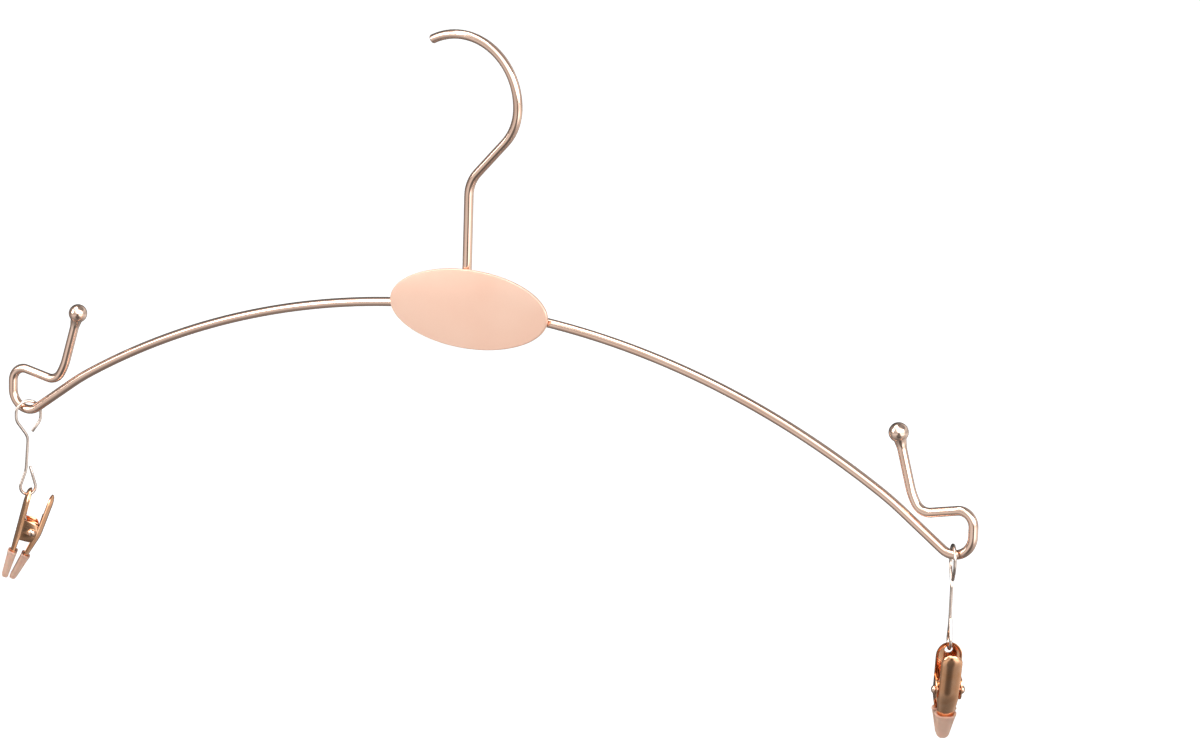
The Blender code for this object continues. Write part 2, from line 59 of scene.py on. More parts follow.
# Room: a pale floor far below the hanger, a white surround and three soft lamp boxes.
# The metal mirrors a surround that is dim low down, with grey gaps and bright patches.
def paint_floor():
    """Pale and matt. It glows a little for the camera alone, and is clear from below."""
    paint = bpy.data.materials.new("pale_floor")
    paint.use_nodes = True
    nodes, links = paint.node_tree.nodes, paint.node_tree.links
    base = nodes["Principled BSDF"]
    base.inputs["Roughness"].default_value = 0.9
    speckle = nodes.new("ShaderNodeTexNoise")
    speckle.inputs["Scale"].default_value = 6
    tone = nodes.new("ShaderNodeMix")
    tone.data_type = "RGBA"
    tone.inputs["A"].default_value = (0.86, 0.86, 0.86, 1)
    tone.inputs["B"].default_value = (0.90, 0.90, 0.90, 1)
    place = nodes.new("ShaderNodeTexCoord")
    links.new(place.outputs["Object"], speckle.inputs["Vector"])
    links.new(speckle.outputs["Fac"], tone.inputs["Factor"])
    links.new(tone.outputs["Result"], base.inputs["Base Color"])
    seen = nodes.new("ShaderNodeLightPath")
    bright = nodes.new("ShaderNodeEmission")
    bright.inputs["Strength"].default_value = 0.6
    glow = nodes.new("ShaderNodeMixShader")
    links.new(seen.outputs["Is Camera Ray"], glow.inputs["Fac"])
    links.new(bright.outputs[0], glow.inputs[2])
    both = nodes.new("ShaderNodeAddShader")
    links.new(base.outputs[0], both.inputs[0])
    links.new(glow.outputs[0], both.inputs[1])
    clear = nodes.new("ShaderNodeBsdfTransparent")
    under = nodes.new("ShaderNodeNewGeometry")
    side = nodes.new("ShaderNodeMixShader")
    links.new(under.outputs["Backfacing"], side.inputs["Fac"])
    links.new(both.outputs[0], side.inputs[1])
    links.new(clear.outputs[0], side.inputs[2])
    links.new(side.outputs[0], nodes["Material Output"].inputs["Surface"])
    return paint


floor_level = -0.85
bpy.ops.object.select_all(action="DESELECT")
bpy.ops.mesh.primitive_plane_add(size=40, location=(0, 6, floor_level))
floor = bpy.context.object
floor.name = "floor"
floor.visible_glossy = False
floor.data.materials.append(paint_floor())

surround = bpy.data.worlds.new("white_room")
bpy.context.scene.world = surround
surround.use_nodes = True
nodes, links = surround.node_tree.nodes, surround.node_tree.links
nodes.clear()
seen = nodes.new("ShaderNodeLightPath")
toward = nodes.new("ShaderNodeTexCoord")


def white_walls(strength):
    """A plain white background of one strength."""
    walls = nodes.new("ShaderNodeBackground")
    walls.inputs["Color"].default_value = (1, 1, 1, 1)
    walls.inputs["Strength"].default_value = strength
    return walls


lighting, backdrop, mirrored = white_walls(0.55), white_walls(1.0), white_walls(1.0)


def toned(direction, near, far, share):
    """A factor for one direction: share inside near degrees of it, one beyond far."""
    dot = nodes.new("ShaderNodeVectorMath")
    dot.operation = "DOT_PRODUCT"
    links.new(toward.outputs["Generated"], dot.inputs[0])
    dot.inputs[1].default_value = Vector(direction).normalized()
    fade = nodes.new("ShaderNodeMapRange")
    fade.interpolation_type = "SMOOTHERSTEP"
    fade.inputs["From Min"].default_value = math.cos(math.radians(far))
    fade.inputs["From Max"].default_value = math.cos(math.radians(near))
    fade.inputs["To Min"].default_value = 1.0
    fade.inputs["To Max"].default_value = share
    links.new(dot.outputs["Value"], fade.inputs["Value"])
    return fade.outputs["Result"]


height = nodes.new("ShaderNodeSeparateXYZ")
links.new(toward.outputs["Generated"], height.inputs[0])
climb = nodes.new("ShaderNodeMapRange")
climb.inputs["From Min"].default_value = -1.0
links.new(height.outputs["Z"], climb.inputs["Value"])
storeys = nodes.new("ShaderNodeValToRGB")
ramp = storeys.color_ramp.elements
for up, grey in ((0.0, 0.17), (0.36, 0.24), (0.50, 0.50), (0.66, 0.72), (1.0, 0.86)):
    stop = ramp.new(up) if 0 < up < 1 else ramp[int(up)]
    stop.color = (grey, grey, grey, 1)
links.new(climb.outputs["Result"], storeys.inputs["Fac"])
grey_gaps = (
    ((0.53, -0.83, -0.14), 6, 20, 0.25),
    ((0.40, -0.70, -0.60), 14, 32, 0.30),
    ((-0.96, 0.26, -0.05), 28, 72, 0.40),
    ((-0.49, 0.85, -0.20), 14, 50, 0.30),
    ((-0.50, 0.28, 0.82), 20, 40, 0.50),
    ((0.36, 0.20, 0.92), 26, 44, 0.34),
    ((-0.49, 0.78, 0.40), 20, 42, 0.42),
)
bright_patches = (
    ((0.90, -0.35, 0.10), 10, 48, 2.40),
    ((-0.30, -0.40, 0.86), 8, 36, 1.40),
    ((0.50, -0.62, 0.55), 22, 42, 3.20),
)
brightness = storeys.outputs["Color"]
for patch in grey_gaps + bright_patches:
    times = nodes.new("ShaderNodeMath")
    times.operation = "MULTIPLY"
    links.new(brightness, times.inputs[0])
    links.new(toned(*patch), times.inputs[1])
    brightness = times.outputs["Value"]
links.new(brightness, mirrored.inputs["Strength"])
shiny = nodes.new("ShaderNodeMath")
shiny.operation = "MAXIMUM"
links.new(seen.outputs["Is Glossy Ray"], shiny.inputs[0])
links.new(seen.outputs["Is Transmission Ray"], shiny.inputs[1])
by_gloss = nodes.new("ShaderNodeMixShader")
links.new(shiny.outputs["Value"], by_gloss.inputs["Fac"])
links.new(lighting.outputs[0], by_gloss.inputs[1])
links.new(mirrored.outputs[0], by_gloss.inputs[2])
by_camera = nodes.new("ShaderNodeMixShader")
links.new(seen.outputs["Is Camera Ray"], by_camera.inputs["Fac"])
links.new(by_gloss.outputs[0], by_camera.inputs[1])
links.new(backdrop.outputs[0], by_camera.inputs[2])
world_end = nodes.new("ShaderNodeOutputWorld")
links.new(by_camera.outputs[0], world_end.inputs["Surface"])


def lamp_box(name, place, width, height, power):
    """A soft lamp that faces the middle of the hanger."""
    bpy.ops.object.light_add(type="AREA", location=place)
    lamp = bpy.context.object
    lamp.name = name
    lamp.data.shape = "RECTANGLE"
    lamp.data.size = width
    lamp.data.size_y = height
    lamp.data.energy = power
    middle = Vector((0, 0, -0.1))
    lamp.rotation_euler = (middle - Vector(place)).to_track_quat("-Z", "Y").to_euler()


lamp_box("left_box", (-1.5, -1.6, 0.7), 1.0, 1.4, 20.5)
lamp_box("top_box", (-0.5, -0.6, 1.8), 1.3, 1.0, 16)
lamp_box("right_box", (2.0, -0.3, 0.7), 0.5, 1.4, 12)
bpy.context.scene.view_settings.view_transform = "Standard"


# Hook: one length of 3 mm steel wire, bent cold over formers in a single plane,
# polished and plated rose gold. Its foot is welded to the back of the oval plate.
MM = 0.001


def rose_plating(name, deep, bright, glossy, dull, cloud, pits, bump):
    """Plated and polished metal: cloudy colour, fine polishing marks, a few soft pits."""
    plating = bpy.data.materials.new(name)
    plating.use_nodes = True
    nodes, links = plating.node_tree.nodes, plating.node_tree.links
    metal = nodes["Principled BSDF"]
    metal.inputs["Metallic"].default_value = 1.0
    place = nodes.new("ShaderNodeTexCoord")
    clouds = nodes.new("ShaderNodeTexNoise")
    clouds.inputs["Scale"].default_value = cloud
    clouds.inputs["Detail"].default_value = 3
    links.new(place.outputs["Object"], clouds.inputs["Vector"])
    tint = nodes.new("ShaderNodeMix")
    tint.data_type = "RGBA"
    tint.inputs["A"].default_value = (*deep, 1)
    tint.inputs["B"].default_value = (*bright, 1)
    spread = nodes.new("ShaderNodeMapRange")
    spread.inputs["From Min"].default_value = 0.3
    spread.inputs["From Max"].default_value = 0.7
    links.new(clouds.outputs["Fac"], spread.inputs["Value"])
    links.new(spread.outputs["Result"], tint.inputs["Factor"])
    links.new(tint.outputs["Result"], metal.inputs["Base Color"])
    marks = nodes.new("ShaderNodeTexNoise")
    marks.inputs["Scale"].default_value = pits
    marks.inputs["Detail"].default_value = 4
    marks.inputs["Roughness"].default_value = 0.65
    links.new(place.outputs["Object"], marks.inputs["Vector"])
    gloss = nodes.new("ShaderNodeMapRange")
    gloss.inputs["From Min"].default_value = 0.25
    gloss.inputs["From Max"].default_value = 0.75
    gloss.inputs["To Min"].default_value = glossy
    gloss.inputs["To Max"].default_value = dull
    links.new(marks.outputs["Fac"], gloss.inputs["Value"])
    links.new(gloss.outputs["Result"], metal.inputs["Roughness"])
    relief = nodes.new("ShaderNodeBump")
    relief.inputs["Strength"].default_value = bump
    relief.inputs["Distance"].default_value = 0.02 * MM
    links.new(marks.outputs["Fac"], relief.inputs["Height"])
    links.new(relief.outputs["Normal"], metal.inputs["Normal"])
    return plating


def pick(piece):
    """Selects this piece alone and makes it the active one."""
    bpy.ops.object.select_all(action="DESELECT")
    piece.select_set(True)
    bpy.context.view_layer.objects.active = piece


def start_piece(name):
    """Names the primitive just added and opens it for shaping, all of it selected."""
    piece = bpy.context.object
    piece.name = piece.data.name = name
    bpy.ops.object.mode_set(mode="EDIT")
    bpy.ops.mesh.select_mode(type="FACE")
    bpy.ops.mesh.select_all(action="SELECT")
    return piece


def face_outwards():
    """Turns every face of the piece in hand outwards and leaves edit mode."""
    bpy.ops.mesh.select_all(action="SELECT")
    bpy.ops.mesh.normals_make_consistent(inside=False)
    bpy.ops.mesh.select_all(action="DESELECT")
    bpy.ops.object.mode_set(mode="OBJECT")


def select_faces(piece, wanted):
    """Selects the faces of the piece in hand that pass a test, and no others."""
    bpy.ops.mesh.select_mode(type="FACE")
    shape = bmesh.from_edit_mesh(piece.data)
    for face in shape.faces:
        face.select = wanted(face)
    shape.select_flush_mode()


def bend_wire(name, diameter, sides, at, turned, moves):
    """A round wire from a cut end: ("run", length) or ("bend", radius, left turn, steps)."""
    bpy.ops.object.select_all(action="DESELECT")
    bpy.ops.mesh.primitive_circle_add(
        vertices=sides,
        radius=diameter / 2,
        fill_type="NGON",
        location=at,
        rotation=(0, math.pi / 2 - turned, 0),
    )
    piece = start_piece(name)
    at = Vector(at)
    for move in moves:
        along = Vector((math.cos(turned), 0, math.sin(turned)))
        if move[0] == "run":
            bpy.ops.mesh.extrude_region_move(TRANSFORM_OT_translate={"value": along * move[1]})
            at += along * move[1]
        else:
            _, radius, degrees, steps = move
            turn = math.radians(degrees)
            left = Vector((-along.z, 0, along.x)) * math.copysign(radius, degrees)
            centre = at + left
            bpy.ops.mesh.spin(
                steps=steps, dupli=False, angle=turn, center=centre, axis=(0, 1, 0)
            )
            at = centre - Matrix.Rotation(-turn, 3, "Y") @ left
            turned += turn
    face_outwards()
    return piece


def is_cut_end(face):
    """The flat ends are the only faces with many corners."""
    return len(face.verts) > 8


def round_ends(piece, width, steps):
    """Bevels the rims of the flat cut ends."""
    pick(piece)
    bpy.ops.object.mode_set(mode="EDIT")
    select_faces(piece, is_cut_end)
    bpy.ops.mesh.select_mode(type="EDGE")
    bpy.ops.mesh.bevel(offset=width, segments=steps, affect="EDGES")
    bpy.ops.mesh.select_all(action="DESELECT")
    bpy.ops.object.mode_set(mode="OBJECT")


def smooth(piece, degrees=35):
    pick(piece)
    bpy.ops.object.shade_smooth_by_angle(angle=math.radians(degrees))


def settle(piece, finish, body, slot, *nodes):
    """Puts the piece's place into its mesh, then gives it its finish and its body."""
    pick(piece)
    bpy.ops.object.transform_apply(location=True, rotation=True, scale=True)
    piece.data.materials.clear()
    piece.data.materials.append(finish)
    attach(piece, body)
    if nodes:
        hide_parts(*nodes)


wire_finish = rose_plating(
    "rose_wire_plating", (0.88, 0.600, 0.465), (0.96, 0.69, 0.555), 0.07, 0.16, 60, 1500, 0.25
)
crown = Vector((6.4894 * MM, 0, -85.6917 * MM))
wire_size, wire_sides = 3.0 * MM, 28
foot_aside = -1.7 * MM
hook = bend_wire(
    "hook",
    wire_size,
    wire_sides,
    crown + Vector((foot_aside, 0, 1.8 * MM)),
    math.pi / 2,
    [
        ("run", 34.3 * MM),
        ("bend", 11.0 * MM, -43, 9),
        ("run", 14.6 * MM),
        ("bend", 16.0 * MM, 43, 10),
        ("bend", 22.0 * MM, 118, 32),
    ],
)
round_ends(hook, 0.45 * MM, 4)
smooth(hook)
settle(hook, wire_finish, "hanger_body", "rose_wire", "hook_wire")


# Frame: the second length of the same wire, bowed from end to end behind the plate.
# Each end turns up through an open loop, back along the arm and up into a straight stem.
bow = bend_wire(
    "frame",
    wire_size,
    wire_sides,
    crown,
    0,
    [
        ("bend", 297.0 * MM, -29.9, 44),
        ("bend", 100.0 * MM, -5.3, 6),
        ("run", 17.2 * MM),
        ("bend", 6.4 * MM, 125.2, 16),
        ("run", 2.9 * MM),
        ("bend", 4.6 * MM, 101.5, 14),
        ("run", 9.2 * MM),
        ("bend", 4.9 * MM, -69.5, 12),
        ("bend", 20.0 * MM, -16, 6),
        ("run", 11.9 * MM),
    ],
)
bpy.ops.object.mode_set(mode="EDIT")
touch = 0.01 * MM
select_faces(bow, lambda face: is_cut_end(face) and abs(face.calc_center_median().x) < touch)
bpy.ops.mesh.delete(type="ONLY_FACE")
bpy.ops.object.mode_set(mode="OBJECT")
bpy.ops.object.transform_apply(location=False, rotation=True, scale=False)
other_half = bow.modifiers.new("other_half", "MIRROR")
other_half.use_axis[0] = True
other_half.merge_threshold = 2 * touch
bpy.ops.object.modifier_apply(modifier="other_half")
bpy.ops.object.mode_set(mode="EDIT")
face_outwards()
smooth(bow)
settle(bow, wire_finish, "hanger_body", "rose_wire", "frame_wire")


# Oval plate: blanked from 1.2 mm sheet, its edge rolled soft, buffed to an even satin
# and plated. Both wires are spot welded to its back.
plate_finish = rose_plating(
    "satin_plating", (0.96, 0.60, 0.45), (0.99, 0.67, 0.52), 0.30, 0.38, 35, 2600, 0.2
)
plate_finish.node_tree.nodes["Principled BSDF"].inputs["Metallic"].default_value = 0.35
plate_wide, plate_tall, plate_thick = 58.6 * MM, 25.6 * MM, 1.2 * MM
plate_place = crown + Vector((0.6 * MM, -1.8 * MM, 0))
bpy.ops.object.select_all(action="DESELECT")
bpy.ops.mesh.primitive_circle_add(
    vertices=128,
    radius=plate_wide / 2,
    fill_type="NGON",
    location=plate_place,
    rotation=(math.pi / 2, 0, 0),
)
plate = start_piece("plate")
bpy.ops.transform.resize(value=(1, 1, plate_tall / plate_wide))
bpy.ops.mesh.extrude_region_move(TRANSFORM_OT_translate={"value": (0, -plate_thick, 0)})
face_outwards()
round_ends(plate, 0.4 * MM, 4)
smooth(plate, 50)
settle(plate, plate_finish, "hanger_body", "satin_plate", "oval_plate")


# Welds: small beads of melted steel that hold the plate to both wires, and the hook's
# cut end to the frame. They are plated over with the rest.
weld_plating = rose_plating(
    "weld_plating", (0.72, 0.45, 0.33), (0.88, 0.61, 0.48), 0.16, 0.34, 420, 1800, 0.6
)
plate_gap, foot_gap, plate_inside = -1.65 * MM, 1.65 * MM, -2.1 * MM
for name, place, size in (
    ("left_weld", (-19.0 * MM, plate_gap, -0.6 * MM), (2.4, 0.7, 1.7)),
    ("right_weld", (19.0 * MM, plate_gap, -0.6 * MM), (2.3, 0.7, 1.6)),
    ("stem_weld", (foot_aside, plate_gap, 8.2 * MM), (1.7, 0.7, 2.1)),
    ("foot_weld", (foot_aside, 0, foot_gap), (1.85, 1.75, 0.75)),
):
    bpy.ops.object.select_all(action="DESELECT")
    bpy.ops.mesh.primitive_uv_sphere_add(
        segments=28, ring_count=18, radius=1 * MM, location=crown + Vector(place)
    )
    bead = start_piece(name)
    bpy.ops.transform.resize(value=size)
    bpy.ops.mesh.bisect(
        plane_co=crown + Vector((0, plate_inside, 0)),
        plane_no=(0, -1, 0),
        clear_outer=True,
        use_fill=True,
        threshold=touch / 10,
    )
    face_outwards()
    smooth(bead, 50)
    settle(bead, weld_plating, "hanger_body", "rose_wire")


# Ball tips: turned from brass rod, each ball on a short cone that is bored to fit over
# the cut end of its stem. They are pressed on before the whole frame is plated.
ball_plating = rose_plating(
    "ball_plating", (0.86, 0.60, 0.47), (0.93, 0.69, 0.56), 0.05, 0.12, 150, 2200, 0.2
)
ball_radius, neck_radius, neck_length = 3.1 * MM, 2.0 * MM, 2.5 * MM
mouth_radius, mouth_lip = 1.56 * MM, 0.5 * MM
join_drop = math.sqrt(ball_radius**2 - neck_radius**2)
bpy.ops.object.select_all(action="DESELECT")
bpy.ops.mesh.primitive_uv_sphere_add(
    segments=40, ring_count=28, radius=ball_radius, location=(0, 0, neck_length + join_drop)
)
tip = start_piece("ball_tip")
bpy.ops.mesh.bisect(
    plane_co=(0, 0, neck_length), plane_no=(0, 0, 1), clear_inner=True, use_fill=False
)


def select_edges(piece, wanted):
    """Selects the edges of the piece in hand that pass a test, and no others."""
    bpy.ops.mesh.select_mode(type="EDGE")
    shape = bmesh.from_edit_mesh(piece.data)
    for edge in shape.edges:
        edge.select = wanted(edge)
    shape.select_flush_mode()


select_edges(tip, lambda edge: edge.is_boundary)
bpy.ops.mesh.extrude_edges_move(TRANSFORM_OT_translate={"value": (0, 0, -neck_length)})
narrowed = mouth_radius / neck_radius
bpy.ops.transform.resize(value=(narrowed, narrowed, 1))
bpy.ops.mesh.extrude_edges_move(TRANSFORM_OT_translate={"value": (0, 0, -mouth_lip)})
bpy.ops.mesh.edge_face_add()
face_outwards()
smooth(tip, 60)


def copy_to(piece, name, place):
    """A copy with its own mesh, moved to its place."""
    pick(piece)
    bpy.ops.object.duplicate()
    twin = bpy.context.object
    twin.name = twin.data.name = name
    twin.matrix_world = place @ piece.matrix_world
    return twin


stem_aside, stem_drop, stem_lean = 154.7803 * MM, 24.8886 * MM, math.radians(16)
for side, sign in (("left", -1), ("right", 1)):
    stem_end = crown + Vector((sign * stem_aside, 0, -stem_drop))
    lean = Matrix.Rotation(-sign * stem_lean, 4, "Y")
    ball = copy_to(tip, f"{side}_ball", Matrix.Translation(stem_end) @ lean)
    settle(ball, ball_plating, "hanger_body", "ball_finish", f"{side}_ball_tip")
bpy.data.objects.remove(tip)


# Links: 1 mm steel wire bent into a large loop above and a small eye below, both left
# open so that they can be sprung over the frame wire and through the clip's hole.
link_plating = rose_plating(
    "link_plating", (0.55, 0.45, 0.39), (0.72, 0.60, 0.53), 0.08, 0.18, 300, 4000, 0.2
)
link_size, link_sides = 1.0 * MM, 16
link = bend_wire(
    "link",
    link_size,
    link_sides,
    (1.3421 * MM, 0, -7.6957 * MM),
    math.radians(54),
    [
        ("run", 3.4 * MM),
        ("bend", 4.5 * MM, 36, 6),
        ("run", 1.0 * MM),
        ("bend", 4.2 * MM, 180, 24),
        ("run", 1.0 * MM),
        ("bend", 4.5 * MM, 36, 6),
        ("run", 3.8 * MM),
        ("bend", 5.0 * MM, -39, 7),
        ("run", 8.4 * MM),
        ("bend", 10.0 * MM, -17, 5),
        ("run", 3.6 * MM),
        ("bend", 2.6 * MM, 216, 26),
        ("run", 6.6 * MM),
    ],
)
round_ends(link, 0.15 * MM, 2)
smooth(link)
loop_aside, loop_drop = 173.5894 * MM, 55.5918 * MM
hang = {}
for side, sign, turn in (("left", -1, 48), ("right", 1, -55)):
    loop = crown + Vector((sign * loop_aside, 0, -loop_drop))
    hang[side] = Matrix.Translation(loop) @ Matrix.Rotation(math.radians(turn), 4, "Z")
    placed = copy_to(link, f"{side}_wire_link", hang[side])
    settle(placed, link_plating, f"{side}_link_body", "link_finish", f"{side}_link")
bpy.data.objects.remove(link)


# Hanging jaws: blanked from 0.5 mm steel strip and pressed into a shallow trough that
# closes in a dome at the top, where the link passes through. The ears carry the pin.
# The jaws' plating is a deeper orange than the wire's: partly its own colour, and partly a
# painted reflection of the orange that the jaws throw on each other.
jaw_plating_with_painted_reflection = rose_plating(
    "jaw_plating_with_painted_reflection", (0.90, 0.44, 0.22), (0.97, 0.57, 0.35), 0.08, 0.20, 260, 3200, 0.3
)
sheet = 0.5 * MM


def press_trough(name, opens, rows, half_width, rise, spine):
    """A trough of sheet that opens towards +X or -X, its spine at a distance from the axis.

    Each row is (height, taper share, dome share, shift). The half width and the rise are
    each a pair: at the tip, and above the taper.
    """
    bpy.ops.object.select_all(action="DESELECT")
    bpy.ops.mesh.primitive_circle_add(
        vertices=56, radius=1 * MM, fill_type="NOTHING", location=(0, 0, rows[0][0])
    )
    piece = start_piece(name)
    bpy.ops.mesh.select_mode(type="VERT")
    shape = bmesh.from_edit_mesh(piece.data)
    for spot in shape.verts:
        spot.select = spot.co.x * opens > touch
    bpy.ops.mesh.delete(type="VERT")
    bpy.ops.mesh.select_all(action="SELECT")

    def section(share):
        return (
            (rise[0] + (rise[1] - rise[0]) * share) / MM,
            (half_width[0] + (half_width[1] - half_width[0]) * share) / MM,
        )

    deep, wide = section(rows[0][1])
    low = rows[0][0]
    bpy.ops.transform.resize(value=(deep, wide, 1), center_override=(0, 0, low))
    bpy.ops.transform.translate(value=(spine + opens * deep * MM, 0, 0))
    dome, back = 1.0, 0.0
    for height, share, next_dome, next_back in rows[1:]:
        bpy.ops.mesh.extrude_edges_move(
            TRANSFORM_OT_translate={"value": (next_back - back, 0, height - low)}
        )
        low, back = height, next_back
        next_deep, next_wide = section(share)
        at_spine = (spine + back, 0, low)
        grow = (next_deep / deep, next_wide / wide, 1)
        if next_deep > deep:
            bpy.ops.transform.resize(value=grow, center_override=at_spine)
        deep, wide = next_deep, next_wide
        at_rim = (spine + back + opens * deep * MM, 0, low)
        close = next_dome / dome
        if close < 1:
            bpy.ops.transform.resize(value=(close, close, 1), center_override=at_rim)
        dome = next_dome
    bpy.ops.mesh.merge(type="CENTER")
    return piece


def pull_ears(piece, low, high, outline):
    """Draws the trough's long edges out between two heights, to a given outline."""
    near = 2 * touch

    def is_ear_edge(edge):
        ends = [(piece.matrix_world @ spot.co).z for spot in edge.verts]
        between = all(low - near < end < high + near for end in ends)
        return edge.is_boundary and between and abs(ends[0] - ends[1]) > near

    select_edges(piece, is_ear_edge)
    bpy.ops.mesh.extrude_edges_move(TRANSFORM_OT_translate={"value": (0, 0, 0)})
    shape = bmesh.from_edit_mesh(piece.data)
    for spot in shape.verts:
        if spot.select:
            height = (piece.matrix_world @ spot.co).z
            spot.co.x = outline(height) - piece.matrix_world.translation.x
    bmesh.update_edit_mesh(piece.data)


def thicken(piece, holes):
    """Gives the sheet its thickness, drills it and breaks its sharp edges."""
    face_outwards()
    bpy.ops.object.transform_apply(location=True, rotation=True, scale=True)
    wall = piece.modifiers.new("wall", "SOLIDIFY")
    wall.thickness = sheet
    wall.offset = 0
    wall.use_even_offset = True
    bpy.ops.object.modifier_apply(modifier="wall")
    for centre, turn, radius in holes:
        bpy.ops.object.select_all(action="DESELECT")
        bpy.ops.mesh.primitive_cylinder_add(
            vertices=40, radius=radius, depth=18 * MM, location=centre, rotation=turn
        )
        drill = bpy.context.object
        pick(piece)
        bore = piece.modifiers.new("bore", "BOOLEAN")
        bore.operation = "DIFFERENCE"
        bore.solver = "EXACT"
        bore.object = drill
        bpy.ops.object.modifier_apply(modifier="bore")
        bpy.data.objects.remove(drill)
    soft = piece.modifiers.new("soft_edge", "BEVEL")
    soft.width = 0.07 * MM
    soft.segments = 2
    soft.limit_method = "ANGLE"
    soft.angle_limit = math.radians(55)
    bpy.ops.object.modifier_apply(modifier="soft_edge")
    smooth(piece, 40)


def taper_share(up, length):
    """How far the taper has opened at a height above the tip, with a rounded end."""
    blend = 1.5 * MM
    if up < length - blend:
        return up / length
    if up > length + blend:
        return 1.0
    over = up - (length - blend)
    return (length - blend + over - over * over / (4 * blend)) / length


def close_dome(foot, tall):
    """Ten rows over a foot: the height, how far up, and how wide the dome still is."""
    for step in range(1, 11):
        up = math.sin(math.pi / 2 * step / 10)
        yield foot + tall * up, up, max(0.05, math.sqrt(1 - up * up))


taper = 14 * MM
pin_up, ear_half = 17 * MM, 3.5 * MM
heights = [0, 3 * MM, 6 * MM, 9 * MM, 11 * MM, 12.5 * MM]
heights += [pin_up - ear_half * math.cos(math.pi * step / 14) for step in range(15)]
heights += [22.5 * MM, 24.7 * MM, 26.9 * MM]
rows = [(height, taper_share(height, taper), 1.0, 0.0) for height in heights]
dome_tall, dome_set = 4.1 * MM, 0.45 * MM
for height, up, still_open in close_dome(heights[-1], dome_tall):
    rows.append((height, 1.0, still_open, -dome_set * up**2))
tip_half, tip_rise = 1.15 * MM, 0.55 * MM
big_half, big_rise = 3.85 * MM, 1.85 * MM
hanging = press_trough(
    "hanging_trough", 1, rows, (tip_half, big_half), (tip_rise, big_rise), sheet / 2
)
ear_reach, ear_draw = 7.3 * MM, 2.2 * MM


def outer_ear(height):
    """The big ear's outline, which reaches furthest at the pin's height."""
    bulge = math.sqrt(max(0.0, 1 - ((height - pin_up) / ear_half) ** 2))
    return ear_reach - ear_draw * (1 - bulge)


pull_ears(hanging, pin_up - ear_half, pin_up + ear_half, outer_ear)
pin_out, pin_bore = 5.5 * MM, 0.97 * MM
link_up, link_bore = 28.2 * MM, 1.25 * MM
thicken(
    hanging,
    [
        ((0, 0, link_up), (0, math.pi / 2, 0), link_bore),
        ((pin_out, 0, pin_up), (math.pi / 2, 0, 0), pin_bore),
    ],
)
jaw_foot = Matrix.Translation((-sheet / 2, 0, -31.25 * MM))
link_eye = Matrix.Translation((0.024 * MM, 0, -26.777 * MM))
hang_tilt = Matrix.Rotation(math.radians(14), 4, "Y")
swing = {}
for side, twist in (("left", -16), ("right", 0)):
    twisted = Matrix.Rotation(math.radians(twist), 4, "Z")
    swing[side] = hang[side] @ link_eye @ twisted @ hang_tilt
    placed = copy_to(hanging, f"{side}_hanging_trough", swing[side] @ jaw_foot)
    settle(placed, jaw_plating_with_painted_reflection, f"{side}_clip_body", "jaw_finish", f"{side}_hanging_jaw")
bpy.data.objects.remove(hanging)


# Front jaws: the same strip pressed the other way up, a little narrower so that its
# small ears sit inside the big ones. Above the pin it leans back as a thumb lever.
below, knee, small_ear = 16.8 * MM, math.radians(12), 2.2 * MM
heights = [-16.8, -13.5, -10.5, -7.5, -5.5, -4.0, -3.0]
heights = [height * MM for height in heights]
heights += [-small_ear * math.cos(math.pi * step / 12) for step in range(13)]
heights += [3.5 * MM, 5.5 * MM, 8 * MM, 10.6 * MM]


def lean_back(height):
    """The lever's set, eased in over the first few millimetres above the pin."""
    ease = 1.2 * MM
    if height < -ease:
        return 0.0
    if height < ease:
        return -((height + ease) ** 2) / (4 * ease) * math.tan(knee)
    return -height * math.tan(knee)


rows = [
    (height, taper_share(height + below, taper), 1.0, lean_back(height)) for height in heights
]
dome_tall, dome_set = 3.3 * MM, 0.8 * MM
for height, _, still_open in close_dome(heights[-1], dome_tall):
    rows.append((height, 1.0, still_open, lean_back(height) + dome_set * (1 - still_open)))
small_half, small_rise, lever_spine = 3.05 * MM, 1.65 * MM, 3.4 * MM
front = press_trough(
    "front_trough",
    -1,
    rows,
    (tip_half, small_half),
    (tip_rise, small_rise),
    lever_spine - sheet / 2,
)


def inner_ear(height):
    """The small ear's outline: half a circle round the pin."""
    return -math.sqrt(max(0.0, small_ear**2 - height**2))


pull_ears(front, -small_ear, small_ear, inner_ear)
thicken(front, [((0, 0, 0), (math.pi / 2, 0, 0), pin_bore)])
pin_place = jaw_foot @ Matrix.Translation((pin_out, 0, pin_up))
jaw_angle = math.radians(18)
clamp = {}
for side in ("left", "right"):
    clamp[side] = swing[side] @ pin_place @ Matrix.Rotation(jaw_angle, 4, "Y")
    placed = copy_to(front, f"{side}_lever_trough", clamp[side])
    settle(placed, jaw_plating_with_painted_reflection, f"{side}_front_jaw_body", "jaw_finish", f"{side}_front_jaw")
bpy.data.objects.remove(front)


